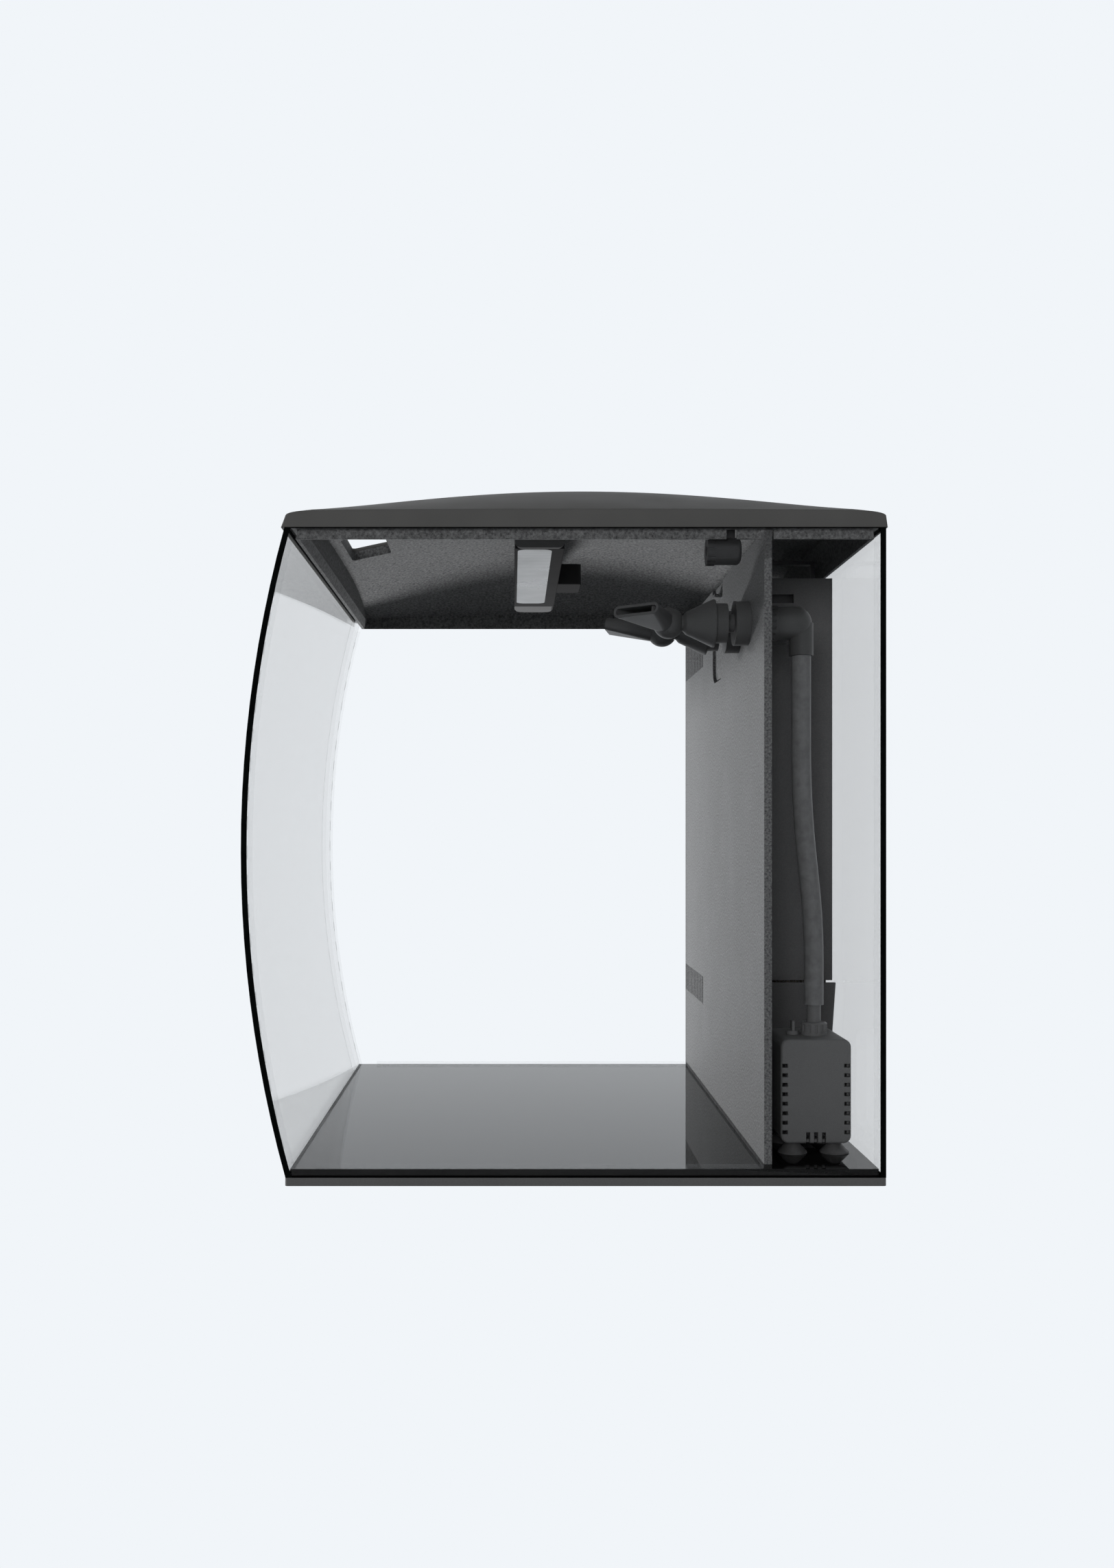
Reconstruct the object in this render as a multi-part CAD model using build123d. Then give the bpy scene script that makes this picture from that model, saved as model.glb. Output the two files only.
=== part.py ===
from build123d import *
import math
import os

# Free-standing aquarium with a bowed front pane, a domed lift-off lid and a filter compartment
# behind a rear partition.  Millimetres; X is width, Y is depth (front pane faces -Y), Z is up.
# The origin is on the surface that the tank stands on, under the middle of its bounding box.

# Driving dimensions: glass tank
WIDTH = 410.0
GLASS = 3.5
FRONT_Y = -195.0
REAR_Y = 193.8
GLASS_TOP = 397.0
BOW_RADIUS = 736.0
BOW_MIDDLE_Z = 202.0
BASE_HEIGHT = 5.0
FLOOR_TOP = 9.5
SEAM = 2.5

# Driving dimensions: rear compartment
PARTITION = (120.9, 125.6)
PARTITION_FOOT = 12.3
PARTITION_TOP = 396.0
DIVIDER_TOP = 389.0
PUMP_DIVIDER_X = (68.2, 71.7)
FOAM_DIVIDER_X = (-82.0, -78.5)
GRILLE_X = (-198.0, -84.0)
GRILLE_PITCH = 6.0
GRILLE_SLOT = 3.0
GATE_HALF = 26.0
GATE_FOOT = 325.0
GATE_GAP = 2.0
GATE_RECESS = 1.8

# Driving dimensions: lid
RIM_FRONT = -171.0
RIM_REAR = 195.0
RIM_BOTTOM = GLASS_TOP
RIM_TOP = 406.8
EDGE_RISE = 1.0
DOME_RISE = 37.5
DOME_CROWN_Y = 14.0
DOME_REACH = 231.0
SHELL_WALL = 2.5
LINER_WALL = 2.0
LINER_DROP = 7.0
SKIRT_BOTTOM = 391.0
SKIRT_HALF = 199.0
SKIRT_Y = (-163.0, 188.0)
PORT_X = (-14.0, 68.0)
PORT_Y = (-151.0, -122.0)
LINER_SETBACK = 3.0

# Driving dimensions: lamp
LAMP_HALF = 141.0
LAMP_Y = (-29.5, 2.4)
LENS_X = (-92.0, 134.0)
LENS_Y = (-27.8, -5.5)
FAR_CAP_X = (-141.0, -108.0)
LAMP_BOTTOM = 397.0
CAP_WALL = 4.0
JUNCTION_TOP = 412.0
LED_ROWS = (-21.5, -13.5)
LED_COUNT = 12
LED_PITCH = 18.0

# Driving dimensions: pump
PUMP_X = (109.0, 163.0)
PUMP_Y = (138.0, 182.5)
PUMP_Z = (16.7, 82.4)
PUMP_AXIS = (160.25, 48.0)
VOLUTE_X = (136.5, 146.0)
VOLUTE_RADIUS = 15.0
OUTLET = (141.0, 163.2)
SHAFT_RADIUS = 1.5
OUTLET_BORE = 4.0
HOSE_OUTER = 6.25
HOSE_INNER = 4.5
HOSE_Z = (102.0, 338.0)
HOSE_TOP_Y = 155.1

# Driving dimensions: twin outlets
OUTLET_Z = 348.0
OUTLET_X = {"right": 141.0, "left": 100.0}
SOCKET_RADIUS = 9.0
SOCKET_Y = 91.9
BALL_RADIUS = 7.2
BALL_Y = 69.5
LINK_BACK = 98.9
FAN_LENGTH = 37.0
FAN_PITCH = 7.0
FAN_YAW = {"right": 50.0, "left": -10.0}
FAN_RANGE = {"right": (-65, 5), "left": (-45, 25)}
RUNNING_GAP = 0.3

# Driving dimensions: filter media
FOAM_X = (-196.0, -84.5)
MEDIA_Y = (127.5, 187.5)
FOAM_Z = (11.0, 372.0)
BASKET_X = (-76.0, 64.0)
BASKET_Z = (13.0, 386.0)
BASKET_WALL = 2.0
HANDLE_TOP = 403.0

HALF = WIDTH / 2
INNER_HALF = HALF - GLASS
REAR_INNER = REAR_Y - GLASS
BAY_Y = (PARTITION[1], REAR_INNER)


# ---------------------------------------------------------------- shared helpers
def block(x, y, z):
    """A box between three (low, high) pairs."""
    size = [high - low for low, high in (x, y, z)]
    middle = [(low + high) / 2 for low, high in (x, y, z)]
    return Pos(*middle) * Box(*size)


def mirrored(x):
    """The (low, high) pair on the other side of the middle plane."""
    return (-x[1], -x[0])


def rod(axis, centre, span, radius):
    """A cylinder along one row axis; centre gives its other two coordinates in X, Y, Z order."""
    length = span[1] - span[0]
    middle = (span[0] + span[1]) / 2
    if axis == "X":
        return Pos(middle, *centre) * Rot(0, 90, 0) * Cylinder(radius, length)
    if axis == "Y":
        return Pos(centre[0], middle, centre[1]) * Rot(90, 0, 0) * Cylinder(radius, length)
    return Pos(*centre, middle) * Cylinder(radius, length)


def turned(profile):
    """A solid of revolution about Z from (radius, height) points."""
    return revolve(Plane.XZ * make_face(Polyline(*profile, profile[0])), Axis.Z)


def comb(xs, y, z):
    """Equal upright slots of the intake grilles, centred on each x."""
    half = GRILLE_SLOT / 2
    return [block((x - half, x + half), y, z) for x in xs]


def save(name, shape):
    export_step(shape, "parts/" + name + ".step")


# ---------------------------------------------------------------- glass tank
def bow_y(z, inset=0.0):
    """Y of the bowed pane at a height, measured inwards from its outer face."""
    radius = BOW_RADIUS - inset
    return FRONT_Y + BOW_RADIUS - math.sqrt(radius ** 2 - (z - BOW_MIDDLE_Z) ** 2)


def bowed_block(x, z, rear, inset):
    """A block whose front face follows the bowed pane."""
    middle_z = (z[0] + z[1]) / 2
    foot = (bow_y(z[0], inset), z[0])
    head = (bow_y(z[1], inset), z[1])
    front = ThreePointArc(foot, (bow_y(middle_z, inset), middle_z), head)
    rest = Polyline(head, (rear, z[1]), (rear, z[0]), foot)
    return extrude(Plane.YZ.offset(x[0]) * make_face([front, rest]), x[1] - x[0])


def front_glass():
    height = (BASE_HEIGHT, GLASS_TOP)
    outer = bowed_block((-HALF, HALF), height, -120.0, 0.0)
    inner = bowed_block((-HALF - 1, HALF + 1), (height[0] - 1, height[1] + 1), -119.0, GLASS)
    return outer - inner


def side_glass(x):
    return bowed_block(x, (BASE_HEIGHT, GLASS_TOP), REAR_INNER, GLASS)


def rear_glass():
    return block((-HALF, HALF), (REAR_INNER, REAR_Y), (BASE_HEIGHT, GLASS_TOP))


def bottom_panel():
    return bowed_block((-INNER_HALF, INNER_HALF), (BASE_HEIGHT, FLOOR_TOP), REAR_INNER, GLASS)


def base_frame():
    ring = block((-HALF, HALF), (-168.5, 194.1), (0, BASE_HEIGHT))
    ring = fillet(ring.edges().filter_by(Axis.Z), 2.0)
    return ring - block((-187, 187), (-150, 176), (-1, BASE_HEIGHT + 1))


def base_mat():
    return block((-186.5, 186.5), (-149.5, 175.5), (1.0, BASE_HEIGHT))


def silicone_seams():
    """Bead along each upright corner and along the floor of the display space."""
    side = (INNER_HALF - SEAM, INNER_HALF)
    walls = (FLOOR_TOP, GLASS_TOP - 8)
    floor = (FLOOR_TOP, FLOOR_TOP + SEAM)
    beads = []
    for x in (side, mirrored(side)):
        bow = bowed_block(x, walls, -120.0, GLASS)
        bow -= bowed_block((-HALF, HALF), (0, GLASS_TOP + 1), -119.0, GLASS + SEAM)
        beads.append(bow)
        beads.append(block(x, (REAR_INNER - SEAM, REAR_INNER), walls))
        beads.append(block(x, (-150.0, PARTITION[0]), floor))
    sill = bowed_block((-INNER_HALF, INNER_HALF), floor, -120.0, GLASS)
    sill -= bowed_block((-HALF, HALF), (0, 30), -119.0, GLASS + SEAM)
    beads[0] = beads[0] + sill + beads[3]
    beads.pop(3)
    return beads


# ---------------------------------------------------------------- rear compartment
def gate_outline(half, foot, corner, y):
    """An upright tongue with rounded lower corners, open at the partition's top."""
    height = PARTITION_TOP + 1 - foot
    tongue = block((-half, half), y, (foot, foot + height))
    low = tongue.edges().filter_by(Axis.Y).group_by(Axis.Z)[0]
    return fillet(low, corner)


def rear_partition():
    wall = block((-INNER_HALF, INNER_HALF), PARTITION, (PARTITION_FOOT, PARTITION_TOP))
    through = (PARTITION[0] - 1, PARTITION[1] + 1)
    count = int((GRILLE_X[1] - GRILLE_X[0]) // GRILLE_PITCH) + 1
    xs = [GRILLE_X[0] + GRILLE_PITCH * i for i in range(count)]
    for slot in comb(xs, through, (76, 98)) + comb(xs, through, (345, 378)):
        wall -= slot
    for x in OUTLET_X.values():
        wall -= rod("Y", (x, OUTLET_Z), through, 8.0)
    return wall - gate_outline(GATE_HALF, GATE_FOOT, 12.0, through)


def partition_bed():
    return block((-INNER_HALF, INNER_HALF), PARTITION, (FLOOR_TOP, PARTITION_FOOT))


def cable_gate():
    """Lift-out tongue that closes the partition's U-shaped cable slot."""
    half = GATE_HALF - GATE_GAP
    foot = GATE_FOOT + GATE_GAP
    face = PARTITION[0] + GATE_RECESS
    tongue = gate_outline(half, foot, 12.0 - GATE_GAP, (face, PARTITION[1]))
    lip = gate_outline(half + 5, foot + 4, 12.0, (PARTITION[1] + RUNNING_GAP, PARTITION[1] + 2))
    web = gate_outline(half - 1, foot + 6, 8.0, (PARTITION[1] - 0.5, PARTITION[1] + 2))
    pull = block((-9, 9), (PARTITION[0] - 3.5, face), (386, 388.5))
    above = block((-60, 60), (PARTITION[0] - 10, PARTITION[1] + 10), (PARTITION_TOP, 420))
    return tongue + lip + web + pull - above


def pump_divider():
    wall = block(PUMP_DIVIDER_X, BAY_Y, (110.6, DIVIDER_TOP))
    return wall - block((60, 80), (BAY_Y[0] - 1, 163.5), (372, 378))


def flow_baffle():
    """Bent weir plate: upright from the floor, then leaning towards the pump."""
    path = Polyline((70.2, FLOOR_TOP), (70.2, 77.0), (80.0, 110.0), (82.6, 110.0), (72.7, 76.6),
                    (72.7, FLOOR_TOP), (70.2, FLOOR_TOP))
    face = Plane.XZ.offset(-BAY_Y[1]) * make_face(path)
    return extrude(face, BAY_Y[1] - BAY_Y[0])


def foam_divider():
    wall = block(FOAM_DIVIDER_X, BAY_Y, (FLOOR_TOP, DIVIDER_TOP))
    for row in range(14):
        z = 24.0 + 12.0 * row
        wall -= block((-90, -70), (133, 183), (z, z + 5))
    return wall


# ---------------------------------------------------------------- filter media
def foam_block():
    shape = block(FOAM_X, MEDIA_Y, FOAM_Z)
    return fillet(shape.edges().filter_by(Axis.Z), 4.0)


def foam_handle():
    """Loop that stands on the foam block to pull it out by."""
    x = (-165.0, -117.0)
    y = (152.0, 163.0)
    low = FOAM_Z[1]
    loop = block(x, y, (low, low + 16))
    loop = fillet(loop.edges().filter_by(Axis.Y).group_by(Axis.Z)[-1], 6.0)
    return loop - block((x[0] + 3, x[1] - 3), (140, 175), (low + 3, low + 13))


def media_basket():
    outer = block(BASKET_X, (MEDIA_Y[0] + 0.5, MEDIA_Y[1]), BASKET_Z)
    wall = BASKET_WALL
    hollow = block((BASKET_X[0] + wall, BASKET_X[1] - wall),
                   (MEDIA_Y[0] + 0.5 + wall, MEDIA_Y[1] - wall),
                   (BASKET_Z[0] + wall, BASKET_Z[1] + 1))
    basket = outer - hollow
    for row in range(22):
        z = 24.0 + 14.0 * row
        basket -= block((-100, 100), (134, 181), (z, z + 6))
    for column in range(10):
        x = -68.0 + 13.2 * column
        basket -= block((x, x + 6), (134, 181), (BASKET_Z[0] - 1, BASKET_Z[0] + wall + 1))
    return basket


def basket_handles():
    """A fixed loop at each end of the basket, standing above its rim."""
    loops = []
    y = (147.5, 180.5)
    foot = BASKET_Z[1] - 14
    for x in ((54.0, 60.0), (-72.0, -66.0)):
        loop = block(x, y, (foot, HANDLE_TOP))
        loop -= block((x[0] - 1, x[1] + 1), (y[0] + 2.4, y[1] - 2.4), (foot + 2.5, HANDLE_TOP - 2.4))
        tie = (BASKET_X[0] + BASKET_WALL, x[0]) if x[0] < 0 else (x[1], BASKET_X[1] - BASKET_WALL)
        loops.append(loop + block(tie, y, (foot, foot + 2.5)))
    return loops


def media_bag(z):
    """A filled mesh bag lying across the basket."""
    bag = block((-72.0, 60.0), (131.5, 183.5), z)
    return fillet(bag.edges(), 9.0)


# ---------------------------------------------------------------- pump
def rounded_pump_block(x, y, z, radius):
    shape = block(x, y, z)
    return fillet(shape.edges().filter_by(Axis.X), radius)


def pump_motor_housing():
    x = (PUMP_X[0], VOLUTE_X[1])
    body = rounded_pump_block(x, PUMP_Y, PUMP_Z, 5.0)
    body -= rod("X", PUMP_AXIS, (113.0, VOLUTE_X[0]), 9.0)
    body -= rod("X", PUMP_AXIS, VOLUTE_X, VOLUTE_RADIUS)
    body -= rod("X", PUMP_AXIS, (110.5, 113.0), 3.0)
    body -= rod("Z", OUTLET, (PUMP_AXIS[1], PUMP_Z[1] + 1), OUTLET_BORE)
    body -= block((113.0, 135.0), (146.0, 175.0), (21.0, 36.0))
    body -= rod("Z", (OUTLET[0], 149.5), (77.0, PUMP_Z[1] + 1), SHAFT_RADIUS + 0.1)
    return body


def stator_core():
    return block((113.0, 135.0), (146.0, 175.0), (21.0, 36.0))


def pump_strainer():
    """Slotted intake cap over the pump's open end."""
    x = (VOLUTE_X[1], PUMP_X[1])
    cap = rounded_pump_block(x, PUMP_Y, PUMP_Z, 5.0)
    cap = fillet(cap.faces().sort_by(Axis.X)[-1].edges(), 1.5)
    wall = 2.0
    hollow = [(low + wall, high - wall) for low, high in (PUMP_Y, PUMP_Z)]
    cap -= rounded_pump_block((x[0] - 1, x[1] - wall), hollow[0], hollow[1], 3.0)
    for row in range(8):
        z = 22.6 + 6.0 * row
        for y in ((PUMP_Y[0] + 0.8, PUMP_Y[0] + 4.4), (PUMP_Y[1] - 4.4, PUMP_Y[1] - 0.8)):
            cap -= block((x[1] - 4, x[1] + 1), y, (z, z + 2.4))
    for column in (-1, 0, 1):
        y = PUMP_AXIS[0] + 5.0 * column
        cap -= block((x[1] - 4, x[1] + 1), (y - 1.2, y + 1.2), (PUMP_Z[0] - 1, PUMP_Z[0] + 7))
    return cap


def pump_sponge():
    """Pre-filter pad between the intake cap and the volute's cover."""
    x = (VOLUTE_X[1] + 3.4, PUMP_X[1] - 2.4)
    return rounded_pump_block(x, (140.4, 180.1), (19.1, 80.0), 3.5)


def volute_cover():
    """Plate with the eye of the pump and a spider that holds the front bush."""
    x = (VOLUTE_X[1], VOLUTE_X[1] + 3.0)
    plate = block(x, (141.0, 179.5), (22.0, 76.0))
    plate -= rod("X", PUMP_AXIS, x, 9.0)
    plate += rod("X", PUMP_AXIS, x, 4.6)
    plate += block(x, (PUMP_AXIS[0] - 1.2, PUMP_AXIS[0] + 1.2), (PUMP_AXIS[1] - 9.5, PUMP_AXIS[1] + 9.5))
    return plate - rod("X", PUMP_AXIS, x, 3.0)


def shaft_bushes():
    bushes = []
    for span in ((110.5, 113.0), (VOLUTE_X[1], VOLUTE_X[1] + 3.0)):
        bushes.append(rod("X", PUMP_AXIS, span, 3.0) - rod("X", PUMP_AXIS, span, SHAFT_RADIUS))
    return bushes


def impeller_shaft():
    return rod("X", PUMP_AXIS, (110.5, VOLUTE_X[1] + 3.0), SHAFT_RADIUS)


def rotor_magnet():
    span = (114.0, VOLUTE_X[0])
    return rod("X", PUMP_AXIS, span, 8.6) - rod("X", PUMP_AXIS, span, SHAFT_RADIUS + 0.06)


def impeller():
    span = (VOLUTE_X[0], VOLUTE_X[1] - 1.0)
    wheel = rod("X", PUMP_AXIS, span, 4.2)
    for blade in range(6):
        angle = 60.0 * blade
        paddle = block((span[0] + 0.5, span[1]), (3.0, 13.2), (-0.8, 0.8))
        wheel += Pos(0, *PUMP_AXIS) * Rot(angle, 0, 0) * paddle
    return wheel - rod("X", PUMP_AXIS, span, SHAFT_RADIUS + 0.06)


def suction_cups():
    """Four rubber feet with a neck, a flared skirt and a hollow underside."""
    low = FLOOR_TOP
    top = PUMP_Z[0]
    flare = [(0, low + 1.6), (5.0, low + 1.3), (8.4, low), (9.2, low), (9.2, low + 0.7),
             (4.4, low + 5.9), (3.8, top), (0, top)]
    cup = turned(flare)
    return [Pos(x, y, 0) * cup for x in (120.0, 154.0) for y in (146.9, 173.6)]


def pump_lead_gland():
    sleeve = rod("X", (160.0, 70.0), (103.0, PUMP_X[0]), 3.4)
    return sleeve + rod("X", (160.0, 70.0), (106.5, PUMP_X[0]), 5.2)


def outlet_collar():
    ring = rod("Z", OUTLET, (PUMP_Z[1], 91.0), 8.4)
    ring = chamfer(ring.edges().group_by(Axis.Z)[-1], 1.0)
    for notch in range(12):
        angle = 30.0 * notch
        ring -= Pos(*OUTLET, 0) * Rot(0, 0, angle) * block((7.9, 9.0), (-0.7, 0.7), (84.5, 89.5))
    return ring - rod("Z", OUTLET, (80, 95), HOSE_INNER)


def outlet_barb():
    tube = rod("Z", OUTLET, (PUMP_Z[1], 112.0), HOSE_INNER)
    return tube - rod("Z", OUTLET, (80, 115), 3.1)


def flow_lever():
    """Small turning tab beside the outlet that throttles the flow."""
    centre = (OUTLET[0], 149.5)
    lever = rod("Z", centre, (PUMP_Z[1] + 0.2, 85.4), 3.9)
    lever += rod("Z", centre, (78.0, PUMP_Z[1] + 0.5), SHAFT_RADIUS)
    return lever + block((centre[0] - 3.2, centre[0] + 3.2), (148.6, 150.4), (85.0, 91.5))


# ---------------------------------------------------------------- hose and outlets
def hose_route():
    """Points of the hose: straight off the barb, a gentle double bend, straight into the elbow."""
    x, y = OUTLET
    return [(x, y, HOSE_Z[0]), (x, y, 155.0), (x, HOSE_TOP_Y, 232.0), (x, HOSE_TOP_Y, HOSE_Z[1])]


def arc_radii(points):
    """The largest arc that each corner's shorter run has room for."""
    spots = [Vector(*point) for point in points]
    radii = []
    for before, corner, after in zip(spots, spots[1:], spots[2:]):
        run_in = corner - before
        run_out = after - corner
        half_turn = math.radians(run_in.get_angle(run_out)) / 2
        radii.append(0.45 * min(run_in.length, run_out.length) / math.tan(half_turn))
    return radii


def pump_hose():
    route = hose_route()
    radii = arc_radii(route)
    print("hose arc radii:", [round(radius) for radius in radii])
    path = FilletPolyline(*route, radius=radii)
    start = Plane(origin=route[0], z_dir=(0, 0, 1))
    ring = start * (Circle(HOSE_OUTER) - Circle(HOSE_INNER))
    hose = sweep(ring, path=path)
    section = math.pi * (HOSE_OUTER ** 2 - HOSE_INNER ** 2)
    print("hose volume / (section x length):", round(hose.volume / (section * path.length), 4))
    print("hose length:", round(path.length, 1))
    return hose


def outlet_manifold():
    """Elbow on top of the hose with a cross pipe that feeds both outlets."""
    right = OUTLET_X["right"]
    left = OUTLET_X["left"]
    cross_y = 151.0
    pipe = rod("Z", (right, HOSE_TOP_Y), (327.0, OUTLET_Z), 7.7)
    pipe += Pos(right, cross_y, OUTLET_Z) * Sphere(10.8)
    pipe += rod("X", (cross_y, OUTLET_Z), (left, right), 7.7)
    pipe += Pos(left, cross_y, OUTLET_Z) * Sphere(9.5)
    pipe += rod("Y", (right, OUTLET_Z), (139.0, cross_y), 10.8)
    pipe += rod("Y", (left, OUTLET_Z), (139.0, cross_y), 9.5)
    pipe -= rod("Z", (right, HOSE_TOP_Y), (326.0, HOSE_Z[1]), HOSE_OUTER)
    pipe -= rod("Z", (right, HOSE_TOP_Y), (330.0, OUTLET_Z), HOSE_INNER)
    pipe -= rod("X", (cross_y, OUTLET_Z), (left, right), HOSE_INNER)
    for x in (left, right):
        pipe -= rod("Y", (x, OUTLET_Z), (138.0, HOSE_TOP_Y), HOSE_INNER)
    return pipe


def bulkhead(x):
    """Flanged fitting through the partition that ends in a ball stub."""
    axis = (x, OUTLET_Z)
    front = PARTITION[0]
    fitting = rod("Y", axis, (111.5, front), 14.35)
    fitting -= block((x - 5, x + 5), (112.5, front - 1.5), (OUTLET_Z + 3, OUTLET_Z + 20))
    fitting += rod("Y", axis, (106.0, front), 6.0)
    fitting += rod("Y", axis, (99.3, 106.8), 12.85)
    fitting += rod("Y", axis, (front, 139.0), 8.0)
    fitting += Pos(x, SOCKET_Y, OUTLET_Z) * Sphere(SOCKET_RADIUS)
    return fitting - rod("Y", axis, (SOCKET_Y - 10, 140.0), 4.0)


def bulkhead_gasket(x):
    span = (PARTITION[1], PARTITION[1] + 1.5)
    return rod("Y", (x, OUTLET_Z), span, 11.0) - rod("Y", (x, OUTLET_Z), span, 8.0)


def bulkhead_nut(x):
    span = (PARTITION[1] + 1.5, 139.0)
    nut = rod("Y", (x, OUTLET_Z), span, 11.5) - rod("Y", (x, OUTLET_Z), span, 8.0)
    for rib in range(16):
        groove = block((11.0, 12.5), (span[0] - 1, span[1] - 2), (-0.7, 0.7))
        nut -= Pos(x, 0, OUTLET_Z) * Rot(0, 22.5 * rib, 0) * groove
    return nut


def outlet_link(x):
    """Tapered swivel link: a socket over the bulkhead's ball and a smaller ball in front."""
    half = [(15.4, 0.0), (15.4, 1.2), (7.3, 18.4), (5.0, 20.4), (5.0, 24.0), (0, 24.0), (0, 0)]
    link = turned(half) + Pos(0, 0, LINK_BACK - BALL_Y) * Sphere(BALL_RADIUS)
    link += rod("Z", (0, 0), (20.0, 26.0), 5.0)
    link -= Pos(0, 0, LINK_BACK - SOCKET_Y) * Sphere(SOCKET_RADIUS + RUNNING_GAP)
    link -= rod("Z", (0, 0), (-1, 3), 8.0)
    link -= rod("Z", (0, 0), (-1, 60), 3.6)
    return Pos(x, LINK_BACK, OUTLET_Z) * Rot(90, 0, 0) * link


def fan_nozzle(side):
    """Flat fan outlet whose round socket turns on the link's front ball."""
    throat = RectangleRounded(14.0, 14.0, 6.6)
    mouth = RectangleRounded(34.0, 7.6, 3.7)
    throat_bore = RectangleRounded(8.0, 7.0, 3.2)
    mouth_bore = RectangleRounded(30.6, 4.0, 1.9)
    duct = loft([Pos(0, 0, 6.0) * throat, Pos(0, 0, FAN_LENGTH) * mouth])
    duct += Sphere(10.0)
    duct -= loft([Pos(0, 0, 5.0) * throat_bore, Pos(0, 0, FAN_LENGTH) * mouth_bore])
    duct -= Sphere(BALL_RADIUS + RUNNING_GAP)
    duct += Pos(11.0, 0, FAN_LENGTH - 4.0) * Rot(90, 0, 0) * Cylinder(1.5, 5.0)
    nozzle = Rot(0, 0, FAN_YAW[side]) * Rot(-FAN_PITCH, 0, 0) * Rot(90, 0, 0) * duct
    low, high = FAN_RANGE[side]
    steps = 12
    for step in range(steps + 1):
        angle = low + (high - low) * step / steps
        nozzle -= Rot(0, 0, -angle) * rod("Y", (0, 0), (3.0, 14.0), 5.6)
    return Pos(OUTLET_X[side], BALL_Y, OUTLET_Z) * nozzle


# ---------------------------------------------------------------- lid
def dome_z(x, y):
    """Height of the lid's outer skin."""
    rise = EDGE_RISE + DOME_RISE * (1 - abs(x / HALF) ** 3)
    return RIM_TOP + rise * (1 - ((y - DOME_CROWN_Y) / DOME_REACH) ** 2)


def rim_setback(x):
    """How far the shell's arched top starts inside its rim: more towards the sides."""
    return 5.0 + 9.0 * abs(x / HALF) ** 3


def dome_section(x, y, bottom, shoulder, drop, setback):
    """Side outline of a domed block at one x: upright foot, sloped shoulder, arched top."""
    front, rear = y
    crown = (DOME_CROWN_Y, dome_z(x, DOME_CROWN_Y) - drop)
    front_end = (front + setback, dome_z(x, front + setback) - drop)
    rear_end = (rear - setback, dome_z(x, rear - setback) - drop)
    arch = ThreePointArc(front_end, crown, rear_end)
    rest = Polyline(rear_end, (rear - 1, shoulder), (rear, bottom), (front, bottom),
                    (front + 2.7, shoulder), front_end)
    return Plane.YZ.offset(x) * make_face([arch, rest])


def domed_block(half, y, bottom, shoulder, drop, setback=None):
    """A block under the dome, lofted through sections that close up towards its sides."""
    shares = (1.0, 0.93, 0.81, 0.63, 0.36, 0.0)
    xs = [-half * share for share in shares] + [half * share for share in reversed(shares[:-1])]
    back = [setback or rim_setback(x) for x in xs]
    return loft([dome_section(x, y, bottom, shoulder, drop, start) for x, start in zip(xs, back)])


def shell_outer():
    return domed_block(HALF, (RIM_FRONT, RIM_REAR), RIM_BOTTOM, 404.3, 0.0)


def shell_hollow():
    wall = SHELL_WALL
    span = (RIM_FRONT + wall, RIM_REAR - wall)
    return domed_block(HALF - wall, span, RIM_BOTTOM - 1, 402.3, wall)


def liner_outer():
    return domed_block(SKIRT_HALF, SKIRT_Y, SKIRT_BOTTOM, 399.0, LINER_DROP, LINER_SETBACK)


def liner_hollow():
    wall = LINER_WALL
    span = (SKIRT_Y[0] + wall, SKIRT_Y[1] - wall)
    drop = LINER_DROP + wall
    return domed_block(SKIRT_HALF - wall, span, SKIRT_BOTTOM - 1, 397.6, drop, LINER_SETBACK)


def port_hole():
    hole = block(PORT_X, PORT_Y, (380, 470))
    return fillet(hole.edges().filter_by(Axis.Z), 4.0)


def lid_shell(outer, hollow):
    return outer - hollow - port_hole()


def lid_liner(outer, hollow):
    """Inner skin with a skirt inside the glass and a flange that rests on the glass."""
    flange = block((-202.2, 202.2), (-166.9, 191.8), (RIM_BOTTOM, RIM_BOTTOM + 2))
    flange -= block((-198, 198), (-162, 187), (RIM_BOTTOM - 1, RIM_BOTTOM + 3))
    liner = outer - hollow + flange - port_hole()
    near = (SKIRT_HALF - 3, SKIRT_HALF + 1)
    for x in (near, mirrored(near)):
        liner -= block(x, (PARTITION[0] - 1.5, PARTITION[1] + 1.5), (390, RIM_BOTTOM - 0.2))
    return liner - block(near, (98.5, 104.8), (390, RIM_BOTTOM))


def feeding_port_collar(hollow, liner):
    """Wall of the feeding port between the two skins."""
    wall = 2.0
    tube = block((PORT_X[0] - wall, PORT_X[1] + wall), (PORT_Y[0] - wall, PORT_Y[1] + wall), (390, 460))
    tube = fillet(tube.edges().filter_by(Axis.Z), 6.0)
    return (tube & hollow) - liner - port_hole()


def lamp_cavity(x):
    """Space inside the lamp for the light source and its lead."""
    return block(x, (LAMP_Y[0] + 2, LAMP_Y[1] - 2), (LAMP_BOTTOM + 2.2, 420))


def lamp_housing(core):
    x = (FAR_CAP_X[1], LAMP_HALF - CAP_WALL)
    trough = block(x, LAMP_Y, (LAMP_BOTTOM, 445)) & core
    return trough - lamp_cavity((x[0] - 1, x[1] - 2)) - lamp_lens()


def lamp_lens():
    lens = block(LENS_X, LENS_Y, (LAMP_BOTTOM, LAMP_BOTTOM + 2.2))
    return fillet(lens.edges().filter_by(Axis.Z), 6.0)


def near_end_cap(core):
    """Flat plate on the end of the lamp above the pump chamber."""
    cap = block((LAMP_HALF - CAP_WALL, LAMP_HALF), LAMP_Y, (LAMP_BOTTOM, 445))
    cap = fillet(cap.edges().filter_by(Axis.X).group_by(Axis.Z)[0], 4.0)
    return cap & core


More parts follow.
